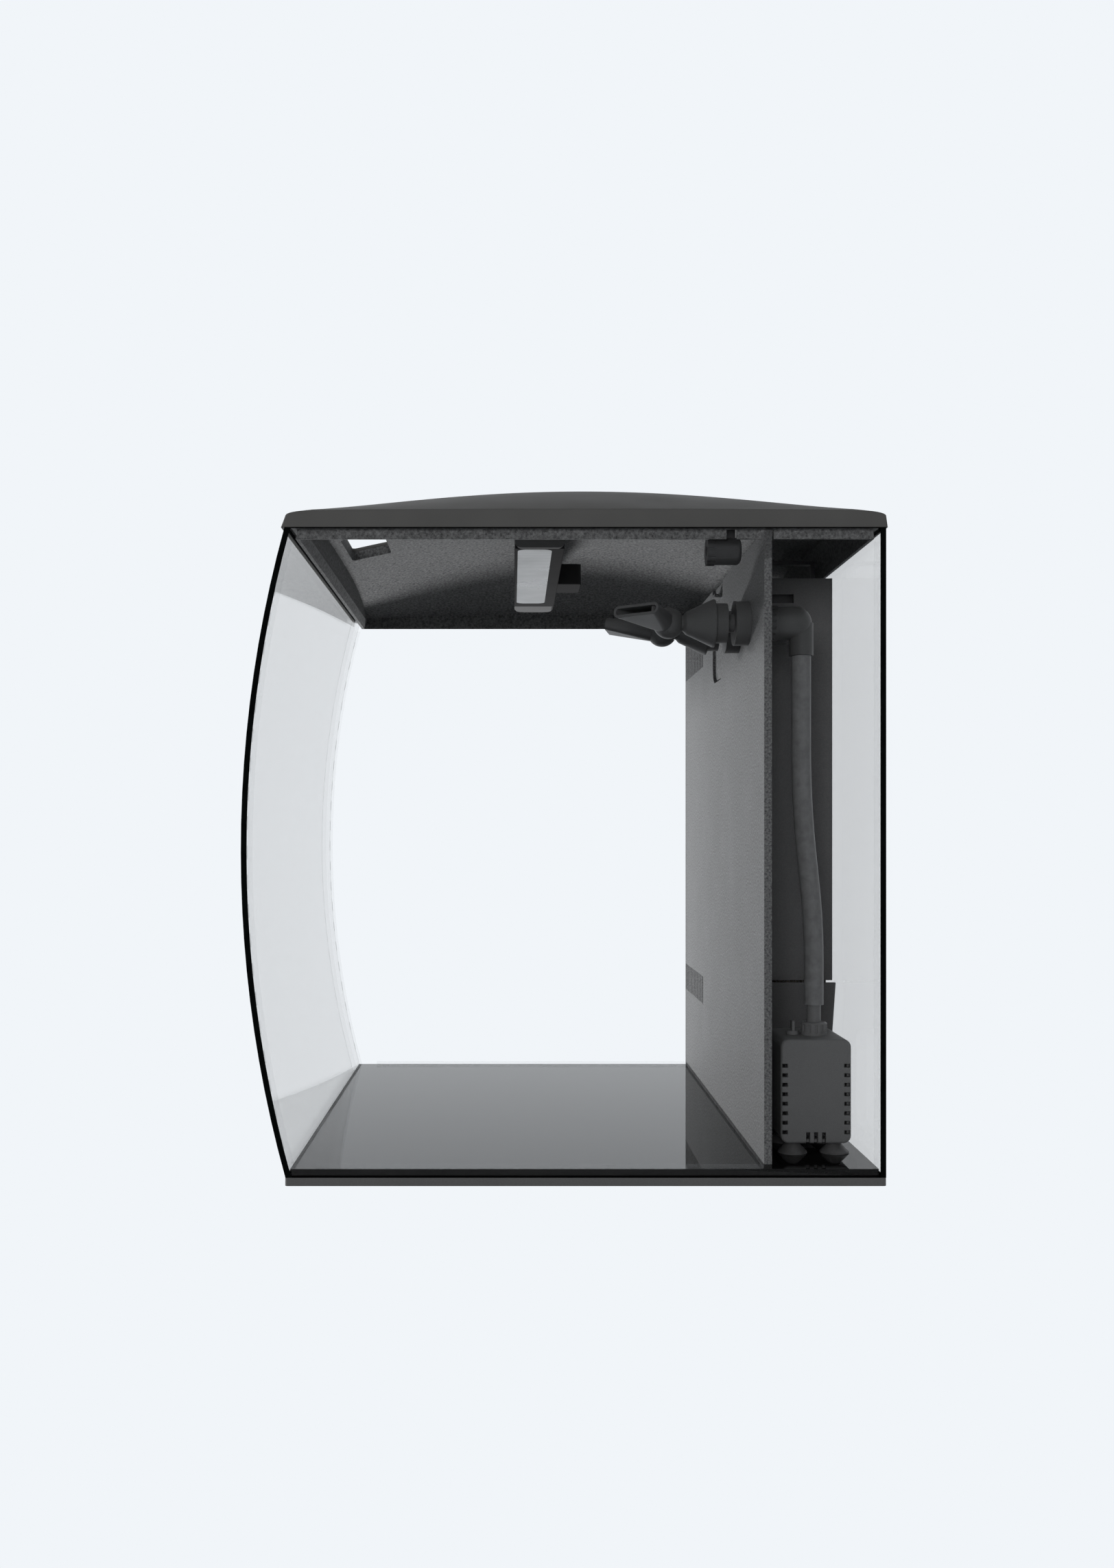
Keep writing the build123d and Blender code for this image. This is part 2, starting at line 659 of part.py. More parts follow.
def far_end_cap(core):
    """Hollow shoe with rounded corners on the lamp's other end."""
    cap = block(FAR_CAP_X, LAMP_Y, (LAMP_BOTTOM, 445))
    cap = fillet(cap.edges().filter_by(Axis.Z).group_by(Axis.X)[0], 9.0)
    cap = chamfer(cap.edges().group_by(Axis.Z)[0].sort_by(Axis.X)[:-1], 1.5)
    return (cap & core) - lamp_cavity((FAR_CAP_X[0] + 9, FAR_CAP_X[1] + 1))


def led_board():
    return block((LENS_X[0], LENS_X[1] - 2), (LAMP_Y[0] + 3, LAMP_Y[1] - 3), (418.4, 420.0))


def led_chips():
    chips = []
    start = (LENS_X[0] + LENS_X[1] - LED_PITCH * (LED_COUNT - 1)) / 2
    for y in LED_ROWS:
        for i in range(LED_COUNT):
            x = start + LED_PITCH * i
            chips.append(block((x - 1.8, x + 1.8), (y - 1.8, y + 1.8), (417.4, 418.4)))
    return chips


def lamp_junction_box():
    """Low box on the rear side of the lamp where its lead comes in."""
    box = block((-39, 0), (LAMP_Y[1], 19.6), (LAMP_BOTTOM, JUNCTION_TOP))
    return fillet(box.edges().filter_by(Axis.Z).sort_by(Axis.Y)[-2:], 3.0)


def lead_gland(core):
    """Barrel of the lamp lead's gland, hung from the lid by a square stem."""
    barrel = rod("Y", (188.0, 385.5), (92.5, 108.6), 8.3)
    barrel = fillet(barrel.edges().filter_by(GeomType.CIRCLE).sort_by(Axis.Y)[-1], 3.0)
    stem = block((184.5, 191.5), (98.5, 104.8), (388, 430)) & core
    return barrel + stem - rod("Y", (188.0, 385.5), (90, 104), 3.0)


def gland_nut():
    span = (87.6, 92.5)
    nut = rod("Y", (188.0, 385.5), span, 8.9)
    for rib in range(14):
        groove = block((8.3, 10), (span[0] - 1, span[1] + 1), (-0.8, 0.8))
        nut -= Pos(188.0, 0, 385.5) * Rot(0, 360 / 14 * rib, 0) * groove
    return nut - rod("Y", (188.0, 385.5), span, 3.0)


# ---------------------------------------------------------------- assembly
def build_tank():
    side = (INNER_HALF, HALF)
    save("base_frame", base_frame())
    save("base_mat", base_mat())
    save("bottom_panel", bottom_panel())
    save("front_glass", front_glass())
    save("rear_glass", rear_glass())
    save("right_glass", side_glass(side))
    save("left_glass", side_glass(mirrored(side)))
    save("silicone_seams", Compound(children=silicone_seams()))


def build_compartment():
    save("rear_partition", rear_partition())
    save("partition_bed", partition_bed())
    save("cable_gate", cable_gate())
    save("pump_divider", pump_divider())
    save("flow_baffle", flow_baffle())
    save("foam_divider", foam_divider())
    save("foam_block", foam_block())
    save("foam_handle", foam_handle())
    save("media_basket", media_basket())
    save("basket_handles", Compound(children=basket_handles()))
    save("ceramic_bag", media_bag((16.0, 120.0)))
    save("carbon_bag", media_bag((121.0, 205.0)))


def build_pump():
    save("pump_motor_housing", pump_motor_housing())
    save("stator_core", stator_core())
    save("pump_strainer", pump_strainer())
    save("pump_sponge", pump_sponge())
    save("volute_cover", volute_cover())
    save("shaft_bushes", Compound(children=shaft_bushes()))
    save("impeller_shaft", impeller_shaft())
    save("rotor_magnet", rotor_magnet())
    save("impeller", impeller())
    save("suction_cups", Compound(children=suction_cups()))
    save("pump_lead_gland", pump_lead_gland())
    save("outlet_collar", outlet_collar())
    save("outlet_barb", outlet_barb())
    save("flow_lever", flow_lever())
    save("pump_hose", pump_hose())


def build_outlets():
    save("outlet_manifold", outlet_manifold())
    for side, x in OUTLET_X.items():
        save("bulkhead_" + side, bulkhead(x))
        save("bulkhead_gasket_" + side, bulkhead_gasket(x))
        save("bulkhead_nut_" + side, bulkhead_nut(x))
        save("outlet_link_" + side, outlet_link(x))
        save("fan_nozzle_" + side, fan_nozzle(side))


def build_lid():
    outer = shell_outer()
    hollow = shell_hollow()
    liner = liner_outer()
    core = liner_hollow()
    save("lid_shell", lid_shell(outer, hollow))
    save("lid_liner", lid_liner(liner, core))
    save("feeding_port_collar", feeding_port_collar(hollow, liner))
    save("lamp_housing", lamp_housing(core))
    save("lamp_lens", lamp_lens())
    save("led_board", led_board())
    save("led_chips", Compound(children=led_chips()))
    save("lamp_end_caps", Compound(children=[near_end_cap(core), far_end_cap(core)]))
    save("lamp_junction_box", lamp_junction_box())
    save("lead_gland", lead_gland(core))
    save("gland_nut", gland_nut())


os.makedirs("parts", exist_ok=True)
build_tank()
build_compartment()
build_pump()
build_outlets()
build_lid()
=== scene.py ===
import math

import bmesh
import bpy
import mathutils.noise
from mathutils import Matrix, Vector


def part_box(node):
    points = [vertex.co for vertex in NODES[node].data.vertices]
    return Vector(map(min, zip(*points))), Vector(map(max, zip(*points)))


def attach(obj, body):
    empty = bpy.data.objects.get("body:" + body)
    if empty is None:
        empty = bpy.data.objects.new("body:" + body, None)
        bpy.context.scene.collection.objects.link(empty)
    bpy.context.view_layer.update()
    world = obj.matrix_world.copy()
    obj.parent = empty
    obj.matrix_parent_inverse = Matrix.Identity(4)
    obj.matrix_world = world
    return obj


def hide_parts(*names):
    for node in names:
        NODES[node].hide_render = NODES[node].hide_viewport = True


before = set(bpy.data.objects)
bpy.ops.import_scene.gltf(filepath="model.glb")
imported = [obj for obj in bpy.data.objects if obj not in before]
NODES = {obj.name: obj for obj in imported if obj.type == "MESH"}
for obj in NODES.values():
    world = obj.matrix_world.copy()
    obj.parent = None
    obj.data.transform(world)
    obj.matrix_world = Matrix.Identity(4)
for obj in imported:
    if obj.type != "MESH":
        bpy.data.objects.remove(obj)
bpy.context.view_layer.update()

MM = 0.001

# Studio: colour of the surround, and the share of it that reaches matt surfaces
PALE = (0.880, 0.913, 0.947, 1.0)
AMBIENT = 0.105

# Camera: place in metres, lens in millimetres, shifts as shares of the picture
CAMERA_PLACE = (1.092, -0.0319, 0.2135)
CAMERA_LENS = 33.81
CAMERA_SHIFT = (0.0290, 0.0304)

# Lights: name, place, target, disk size in metres, watts, colour
WHITE = (1.0, 1.0, 1.0)
LIGHTS = (
    ("front_window", (-0.25, -1.5, 0.68), (0, 0.1, 0.2), 0.25, 27.5, WHITE),
    ("far_side_bounce", (-0.9, -0.17, 0.07), (0.05, 0, 0.42), 0.14, 17.5, WHITE),
    ("camera_side_fill", (2.6, -0.5, 0.65), (0, 0, 0.2), 0.8, 22, WHITE),
    ("sky_window", (0.1, 0.2, 2.2), (0, 0, 0.4), 1.2, 0.9, (1.0, 0.97, 0.9)),
)

# Plastics, from the lightest to the darkest
IMPELLER_PALE = (0.5, 0.51, 0.52)
LAMP_CAP_GREY = (0.15, 0.151, 0.153)
LINER_GREY = (0.142, 0.144, 0.146)
PARTITION_GREY = (0.130, 0.132, 0.134)
PUMP_GREY = (0.125, 0.127, 0.129)
LID_GREY = (0.117, 0.116, 0.113)
RAIL_GREY = (0.116, 0.116, 0.116)
DIVIDER_GREY = (0.096, 0.096, 0.098)
FITTING_GREY = (0.060, 0.061, 0.062)
BASKET_BLACK = (0.05, 0.05, 0.052)
LAMP_BLACK = (0.048, 0.048, 0.049)

# Rubber, foam, mat and the rotor's magnet
HOSE_GREY = (0.143, 0.146, 0.149)
CUP_BLACK = (0.07, 0.07, 0.071)
FOAM_BLACK = (0.055, 0.055, 0.058)
FERRITE_BLACK = (0.03, 0.03, 0.032)
GLAND_BLACK = (0.028, 0.028, 0.029)
MAT_BLACK = (0.02, 0.02, 0.02)
BED_BLACK = (0.012, 0.012, 0.012)

# Panes: what each lets through, and how much it mirrors at a grazing angle and face on. The front and rear
# tints are painted shade: they dim those panes to the grey of glass seen at a grazing angle, while the side
# panes of the same glass stay clear.
FRONT_SHADE_TINT = (0.838, 0.836, 0.833, 1)
REAR_SHADE_TINT = (0.972, 0.969, 0.965, 1)
SIDE_TINT = (1.0, 1.0, 1.0, 1)
GRAZING_MIRROR = 0.6
FACE_MIRROR = 0.01
BLACK_GLASS_IOR = 1.235

# Metal, ceramic, lamp board and what the bags are made of
STEEL = (0.5, 0.5, 0.51)
SHAFT_WHITE = (0.85, 0.84, 0.8)
BOARD_WHITE = (0.8, 0.81, 0.8)
PHOSPHOR_YELLOW = (0.85, 0.8, 0.45)
LENS_GREY = (0.165, 0.168, 0.171)
CERAMIC_FILL = (0.5, 0.45, 0.38)
CERAMIC_THREAD = (0.8, 0.8, 0.78, 1)
CARBON_FILL = (0.03, 0.03, 0.03)
CARBON_THREAD = (0.6, 0.6, 0.6, 1)

# Range that most of a noise texture's values fall in
NOISE_RANGE = (0.3, 0.7)

# Lid skin, in the terms of the CAD lid: heights, Y of the crown and reach of the arch, millimetres
RIM_TOP = 406.8
SHOULDER = 404.3
EDGE_RISE = 1.0
DOME_RISE = 37.5
CROWN_Y = 14.0
DOME_REACH = 231.0
SHELL_WALL = 2.5
EDGE_RADIUS = 1.2
RIM_SETBACK = 5.0
RIM_SETBACK_GAIN = 9.0
RIM_BLEND = 5.0
FRONT_LEAN = 2.7
REAR_LEAN = 1.0
COLLAR_WALL = 2.0
PORT_RADIUS = 4.0
PORT_CUT = (380.0, 470.0)

# Fineness of the lid skin: steps of a corner, of the arch, of half the width and of a side's edge
CORNER_STEPS = 8
ARCH_STEPS = 48
WIDTH_STEPS = 28
EDGE_STEPS = 4

# Net bags: rings and turns of the mesh, radius of the gathered neck and of its tie in millimetres
POUCH_RINGS = 56
POUCH_TURNS = 120
NECK = 4.5
TIE = 0.9


# ---------------------------------------------------------------- node helpers
def new_material(name):
    material = bpy.data.materials.new(name)
    material.use_nodes = True
    tree = material.node_tree
    tree.nodes.clear()
    return material, tree


def add(tree, kind, inputs=None, **settings):
    """A shader node with its settings, plain values and links in one call."""
    made = tree.nodes.new(kind)
    for key, value in settings.items():
        setattr(made, key, value)
    for key, value in (inputs or {}).items():
        if isinstance(value, bpy.types.NodeSocket):
            tree.links.new(value, made.inputs[key])
        else:
            made.inputs[key].default_value = value
    return made


def close(tree, shader):
    """Joins the finished shader to the material's output."""
    out = tree.nodes.new("ShaderNodeOutputMaterial")
    tree.links.new(shader, out.inputs["Surface"])


def place_in(tree):
    """Place on the object itself, in metres."""
    return add(tree, "ShaderNodeTexCoord").outputs["Object"]


def noise(tree, place, size, detail=3.0, rough=0.55):
    """Noise whose blotches are about this size in metres."""
    inputs = {"Vector": place, "Scale": 1.0 / size, "Detail": detail, "Roughness": rough}
    return add(tree, "ShaderNodeTexNoise", inputs).outputs["Fac"]


def remap(tree, value, low, high, new_low, new_high):
    inputs = {"Value": value, "From Min": low, "From Max": high, "To Min": new_low, "To Max": new_high}
    return add(tree, "ShaderNodeMapRange", inputs).outputs["Result"]


def spread(tree, value, low, high):
    """Stretches a noise's usual range over two values."""
    return remap(tree, value, *NOISE_RANGE, low, high)


def math_node(tree, operation, first, second):
    made = add(tree, "ShaderNodeMath", operation=operation)
    for socket, value in zip(made.inputs, (first, second)):
        if isinstance(value, bpy.types.NodeSocket):
            tree.links.new(value, socket)
        else:
            socket.default_value = value
    return made.outputs["Value"]


def toned(tree, colour, tone):
    """A plain colour scaled by a number that changes over the surface."""
    return add(tree, "ShaderNodeVectorMath", {0: colour[:3], "Scale": tone}, operation="SCALE").outputs[0]


# ---------------------------------------------------------------- materials
def moulded(name, colour, rough=0.5, grain=0.9, depth=0.02, mottle=0.10, edge=0.5, shine=0.25):
    """Moulded plastic: a fine grain, soft tone changes, slightly rounded edges.

    Grain size, grain depth and edge radius are in millimetres; mottle is the tone's swing.
    """
    material, tree = new_material(name)
    place = place_in(tree)
    fine = noise(tree, place, grain * MM, 4.0, 0.65)
    broad = noise(tree, place, 35 * MM, 2.0)
    tone = spread(tree, fine, 1 - mottle, 1 + mottle)
    tone = math_node(tree, "MULTIPLY", tone, spread(tree, broad, 0.95, 1.05))
    rounded = add(tree, "ShaderNodeBevel", {"Radius": edge * MM}, samples=4)
    bump = add(tree, "ShaderNodeBump", {"Height": fine, "Distance": depth * MM, "Strength": 1.0,
                                        "Normal": rounded.outputs["Normal"]})
    shader = add(tree, "ShaderNodeBsdfPrincipled",
                 {"Base Color": toned(tree, colour, tone),
                  "Roughness": spread(tree, broad, rough - 0.05, rough + 0.05),
                  "Normal": bump.outputs["Normal"]})
    shader.inputs["Specular IOR Level"].default_value = shine
    close(tree, shader.outputs["BSDF"])
    return material


def rubber(name, colour, rough=0.6):
    """Soft dark rubber, mat or sintered magnet with a faint bloom."""
    material, tree = new_material(name)
    place = place_in(tree)
    bloom = noise(tree, place, 6 * MM, 3.0)
    fine = noise(tree, place, 0.4 * MM, 2.0)
    bump = add(tree, "ShaderNodeBump", {"Height": fine, "Distance": 0.01 * MM})
    shader = add(tree, "ShaderNodeBsdfPrincipled",
                 {"Base Color": toned(tree, colour, spread(tree, bloom, 0.85, 1.2)),
                  "Roughness": spread(tree, bloom, rough - 0.08, rough + 0.08),
                  "Normal": bump.outputs["Normal"]})
    shader.inputs["Specular IOR Level"].default_value = 0.25
    close(tree, shader.outputs["BSDF"])
    return material


def pane_glass(name, tint, face_mirror):
    """Clear pane: passes a tint straight through and mirrors more at grazing angles."""
    material, tree = new_material(name)
    facing = add(tree, "ShaderNodeLayerWeight", {"Blend": 0.5}).outputs["Facing"]
    grazing = math_node(tree, "POWER", facing, 5.0)
    share = math_node(tree, "ADD", math_node(tree, "MULTIPLY", grazing, GRAZING_MIRROR), face_mirror)
    clear = add(tree, "ShaderNodeBsdfTransparent", {"Color": tint})
    gloss = add(tree, "ShaderNodeBsdfGlossy", {"Color": (1, 1, 1, 1), "Roughness": 0.01})
    mix = add(tree, "ShaderNodeMixShader", {"Fac": share, 1: clear.outputs[0], 2: gloss.outputs[0]})
    close(tree, mix.outputs[0])
    return material


def polished_edge(name):
    """Ground and polished pane edge: nearly black from outside, clear from within the glass."""
    material, tree = new_material(name)
    inside = add(tree, "ShaderNodeNewGeometry").outputs["Backfacing"]
    ripple = noise(tree, place_in(tree), 8 * MM, 2.0)
    dark = add(tree, "ShaderNodeBsdfPrincipled",
               {"Base Color": toned(tree, (0.004, 0.005, 0.005), spread(tree, ripple, 0.7, 1.3)),
                "Roughness": 0.6})
    dark.inputs["Specular IOR Level"].default_value = 0.0
    clear = add(tree, "ShaderNodeBsdfTransparent", {"Color": (0.98, 0.98, 0.98, 1)})
    mix = add(tree, "ShaderNodeMixShader", {"Fac": inside, 1: dark.outputs[0], 2: clear.outputs[0]})
    close(tree, mix.outputs[0])
    return material


def black_glass(name):
    """Opaque black float glass with a mirror-like face."""
    material, tree = new_material(name)
    haze = noise(tree, place_in(tree), 60 * MM, 2.0)
    shader = add(tree, "ShaderNodeBsdfPrincipled",
                 {"Base Color": toned(tree, (0.008, 0.008, 0.008), spread(tree, haze, 0.8, 1.2)),
                  "Roughness": spread(tree, haze, 0.015, 0.04)})
    shader.inputs["IOR"].default_value = BLACK_GLASS_IOR
    close(tree, shader.outputs["BSDF"])
    return material


def silicone(name):
    """Clear sealant: nearly invisible, with a faint milky skin."""
    material, tree = new_material(name)
    wave = noise(tree, place_in(tree), 5 * MM, 2.0)
    clear = add(tree, "ShaderNodeBsdfTransparent", {"Color": (0.985, 0.985, 0.985, 1)})
    skin = add(tree, "ShaderNodeBsdfPrincipled",
               {"Base Color": (0.55, 0.58, 0.60, 1), "Roughness": spread(tree, wave, 0.2, 0.35)})
    mix = add(tree, "ShaderNodeMixShader", {"Fac": 0.03, 1: clear.outputs[0], 2: skin.outputs[0]})
    close(tree, mix.outputs[0])
    return material


def frosted_lens_painted_glow(name):
    """Milky lens with fine ribs across it, and a faint painted glow in place of light falling on it."""
    material, tree = new_material(name)
    place = place_in(tree)
    ribs = add(tree, "ShaderNodeTexWave", {"Vector": place, "Scale": 95.0, "Distortion": 0.0},
               bands_direction="X").outputs["Fac"]
    cloud = noise(tree, place, 30 * MM, 2.0)
    bump = add(tree, "ShaderNodeBump", {"Height": ribs, "Distance": 0.15 * MM})
    shader = add(tree, "ShaderNodeBsdfPrincipled",
                 {"Base Color": toned(tree, LENS_GREY, spread(tree, cloud, 0.92, 1.05)),
                  "Roughness": spread(tree, cloud, 0.25, 0.4), "Normal": bump.outputs["Normal"]})
    # Painted glow: a faint emission brightens the lens, though no lamp in it is lit.
    shader.inputs["Emission Color"].default_value = (0.9, 0.95, 1.0, 1)
    shader.inputs["Emission Strength"].default_value = 0.045
    close(tree, shader.outputs["BSDF"])
    return material


def open_foam(name, colour):
    """Open-cell filter foam: lighter struts, with painted shade darkening the pores between them."""
    material, tree = new_material(name)
    place = place_in(tree)
    cells = add(tree, "ShaderNodeTexVoronoi", {"Vector": place, "Scale": 620.0}, feature="DISTANCE_TO_EDGE")
    # Strut mask: 1 on the struts, 0.15 in the pores; it drives the bump, the roughness and the painted
    # shade in the pores.
    struts_and_pore_shade = remap(tree, cells.outputs["Distance"], 0.0, 0.25, 1.0, 0.15)
    cloud = spread(tree, noise(tree, place, 12 * MM, 3.0), 0.8, 1.2)
    bump = add(tree, "ShaderNodeBump", {"Height": struts_and_pore_shade, "Distance": 0.5 * MM})
    shader = add(tree, "ShaderNodeBsdfPrincipled",
                 {"Base Color": toned(tree, colour, math_node(tree, "MULTIPLY", struts_and_pore_shade, cloud)),
                  "Roughness": remap(tree, struts_and_pore_shade, 0.0, 1.0, 0.95, 0.8), "Normal": bump.outputs["Normal"]})
    close(tree, shader.outputs["BSDF"])
    return material


def net_cloth(name, colour, thread):
    """Knitted mesh cloth over what the bag holds: light threads, darker holes."""
    material, tree = new_material(name)
    place = place_in(tree)
    cells = add(tree, "ShaderNodeTexVoronoi", {"Vector": place, "Scale": 420.0, "Randomness": 0.25},
                feature="DISTANCE_TO_EDGE")
    weave = remap(tree, cells.outputs["Distance"], 0.0, 0.18, 1.0, 0.0)
    lumps = noise(tree, place, 7 * MM, 2.0)
    fill = toned(tree, colour, spread(tree, lumps, 0.6, 1.25))
    mix = add(tree, "ShaderNodeMix", {"Factor": weave, 6: fill, 7: thread}, data_type="RGBA")
    bump = add(tree, "ShaderNodeBump", {"Height": weave, "Distance": 0.25 * MM})
    shader = add(tree, "ShaderNodeBsdfPrincipled",
                 {"Base Color": mix.outputs[2], "Roughness": remap(tree, weave, 0, 1, 0.9, 0.7),
                  "Normal": bump.outputs["Normal"]})
    close(tree, shader.outputs["BSDF"])
    return material


def brushed(name, colour, metal, rough):
    """Fine lines across X, as on stacked steel, a ground shaft or a lamp board."""
    material, tree = new_material(name)
    place = place_in(tree)
    lines = add(tree, "ShaderNodeTexWave", {"Vector": place, "Scale": 300.0, "Distortion": 1.0},
                bands_direction="X").outputs["Fac"]
    shader = add(tree, "ShaderNodeBsdfPrincipled",
                 {"Base Color": toned(tree, colour, remap(tree, lines, 0, 1, 0.75, 1.1)),
                  "Roughness": remap(tree, lines, 0, 1, rough - 0.05, rough + 0.1)})
    shader.inputs["Metallic"].default_value = metal
    close(tree, shader.outputs["BSDF"])
    return material


# ---------------------------------------------------------------- finish of the CAD nodes
def paint(material, *names):
    """Gives each named CAD node this one material."""
    for name in names:
        slots = NODES[name].data.materials
        slots.clear()
        slots.append(material)


def paint_edges(name, face, edge, broad_axis):
    """Broad faces of a pane get one material and its narrow edges another."""
    mesh = NODES[name].data
    mesh.materials.clear()
    mesh.materials.append(face)
    mesh.materials.append(edge)
    for polygon in mesh.polygons:
        polygon.material_index = 0 if abs(polygon.normal[broad_axis]) > 0.7 else 1


def finish_tank():
    edge = polished_edge("polished_edge")
    # The front and rear panes carry painted shade in their tints; the side panes are left clear.
    front = pane_glass("front_glass_painted_shade", FRONT_SHADE_TINT, FACE_MIRROR)
    rear = pane_glass("rear_glass_painted_shade", REAR_SHADE_TINT, FACE_MIRROR)
    side = pane_glass("side_glass_clear", SIDE_TINT, 0.0)
    paint_edges("front_glass", front, edge, 1)
    paint_edges("rear_glass", rear, edge, 1)
    paint_edges("right_glass", side, edge, 0)
    paint_edges("left_glass", side, edge, 0)
    paint(black_glass("black_bottom_glass"), "bottom_panel")
    paint(silicone("clear_silicone"), "silicone_seams")
    paint(moulded("base_rail_plastic", RAIL_GREY), "base_frame")
    paint(rubber("black_foam_mat", MAT_BLACK, 0.85), "base_mat")
    paint(rubber("black_bed_silicone", BED_BLACK, 0.5), "partition_bed")


def finish_compartment():
    spark = moulded("spark_textured_plastic", PARTITION_GREY, 0.6, grain=1.3, depth=0.4, mottle=0.7)
    paint(spark, "rear_partition", "cable_gate")
    plain = moulded("divider_plastic", DIVIDER_GREY, grain=0.8, depth=0.04, mottle=0.12)
    paint(plain, "pump_divider", "flow_baffle", "foam_divider", "foam_handle")
    paint(moulded("basket_plastic", BASKET_BLACK, 0.4), "media_basket", "basket_handles")


def finish_pump():
    case = moulded("pump_plastic", PUMP_GREY, grain=0.6, depth=0.015, mottle=0.08, edge=0.8)
    paint(case, "pump_motor_housing", "pump_strainer", "volute_cover", "outlet_collar", "outlet_barb",
          "flow_lever")
    paint(rubber("cup_rubber", CUP_BLACK, 0.45), "suction_cups", "pump_lead_gland",
          "shaft_bushes", "bulkhead_gasket_right", "bulkhead_gasket_left")
    paint(brushed("stator_steel", STEEL, 1.0, 0.4), "stator_core")
    paint(brushed("shaft_ceramic", SHAFT_WHITE, 0.0, 0.2), "impeller_shaft")
    paint(rubber("ferrite", FERRITE_BLACK, 0.4), "rotor_magnet")
    paint(moulded("impeller_plastic", IMPELLER_PALE, 0.35), "impeller")
    paint(rubber("hose_rubber", HOSE_GREY, 0.5), "pump_hose")


def finish_outlets():
    fitting = moulded("fitting_plastic", FITTING_GREY, grain=0.7, depth=0.015, mottle=0.08)
    for part in ("bulkhead_", "bulkhead_nut_", "outlet_link_", "fan_nozzle_"):
        paint(fitting, part + "right", part + "left")
    paint(fitting, "outlet_manifold")
    paint(rubber("gland_rubber", GLAND_BLACK, 0.5), "lead_gland", "gland_nut")


def finish_lid():
    liner = moulded("liner_plastic", LINER_GREY, 0.6, grain=1.8, depth=0.55, mottle=0.6, shine=0.04)
    paint(liner, "lid_liner", "feeding_port_collar")
    lid_plastic = moulded("lid_plastic", LID_GREY, 0.6, grain=0.5, depth=0.008, mottle=0.05,
                          edge=1.0, shine=0.08)
    paint(lid_plastic, "lid_shell")
    skin = lid_skin(lid_plastic)
    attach(skin, "lid")
    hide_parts("lid_shell")


def lamp_plastic(name, colour):
    """Matt moulded plastic of the lamp."""
    return moulded(name, colour, 0.6, grain=0.6, depth=0.01, mottle=0.06, edge=0.8, shine=0.0)


def finish_lamp():
    paint(lamp_plastic("lamp_plastic", LAMP_BLACK), "lamp_housing", "lamp_junction_box")
    paint(lamp_plastic("lamp_cap_plastic", LAMP_CAP_GREY), "lamp_end_caps")
    paint(frosted_lens_painted_glow("frosted_lens_painted_glow"), "lamp_lens")
    paint(brushed("led_board_face", BOARD_WHITE, 0.0, 0.4), "led_board")
    paint(brushed("led_phosphor", PHOSPHOR_YELLOW, 0.0, 0.3), "led_chips")


def carry(piece, body, node):
    """Lets a soft piece ride on its body in place of the plain CAD solid."""
    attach(piece, body)
    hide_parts(node)


def finish_media():
    foam = open_foam("filter_foam", FOAM_BLACK)
    ceramic_net = net_cloth("ceramic_net", CERAMIC_FILL, CERAMIC_THREAD)
    carbon_net = net_cloth("carbon_net", CARBON_FILL, CARBON_THREAD)
    block = foam_piece("foam_block", "filter_foam_block", foam, step=3.0, seed=1)
    sponge = foam_piece("pump_sponge", "pump_prefilter", foam, step=1.5, seed=2, radius=2.5)
    ceramic = media_pouch("ceramic_bag", "ceramic_pouch", ceramic_net, lump=13.0, height=3.5, seed=3)
    carbon = media_pouch("carbon_bag", "carbon_pouch", carbon_net, lump=7.0, height=2.0, seed=4)
    carry(block, "foam_cartridge", "foam_block")
    carry(sponge, "tank", "pump_sponge")
    carry(ceramic, "media_cartridge", "ceramic_bag")
    carry(carbon, "media_cartridge", "carbon_bag")


# ---------------------------------------------------------------- mesh helpers
def mesh_object(name, bm, material, crease=35.0):
    """Turns a bmesh into a smooth-shaded object that keeps its sharp edges."""
    mesh = bpy.data.meshes.new(name)
    bm.normal_update()
    bm.to_mesh(mesh)
    bm.free()
    for polygon in mesh.polygons:
        polygon.use_smooth = True
    mesh.set_sharp_from_angle(angle=math.radians(crease))
    mesh.materials.append(material)
    made = bpy.data.objects.new(name, mesh)
    bpy.context.scene.collection.objects.link(made)
    return made


def bridge(bm, first, second, closed=True):
    """Quads between two rows of vertices of the same length."""
    count = len(first) if closed else len(first) - 1
    for i in range(count):
        j = (i + 1) % len(first)
        bm.faces.new((first[i], first[j], second[j], second[i]))


def box_mm(node):
    """(low, high) pairs of a CAD node along X, Y and Z, in millimetres."""
    low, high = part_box(node)
    return [(a / MM, b / MM) for a, b in zip(low, high)]


# ---------------------------------------------------------------- lid skin
def dome_z(x, y, half):
    """Height of the domed top, highest over the crown and flatter towards the sides."""
    rise = EDGE_RISE + DOME_RISE * (1 - abs(x / half) ** 3)
    return RIM_TOP + rise * (1 - ((y - CROWN_Y) / DOME_REACH) ** 2)


def soft_corner(start, control, end, steps):
    """Points of a quadratic curve without its first one."""
    points = []
    for i in range(1, steps + 1):
        t = i / steps
        a, b, c = (1 - t) ** 2, 2 * t * (1 - t), t ** 2
        points.append(tuple(a * start[k] + b * control[k] + c * end[k] for k in (0, 1)))
    return points


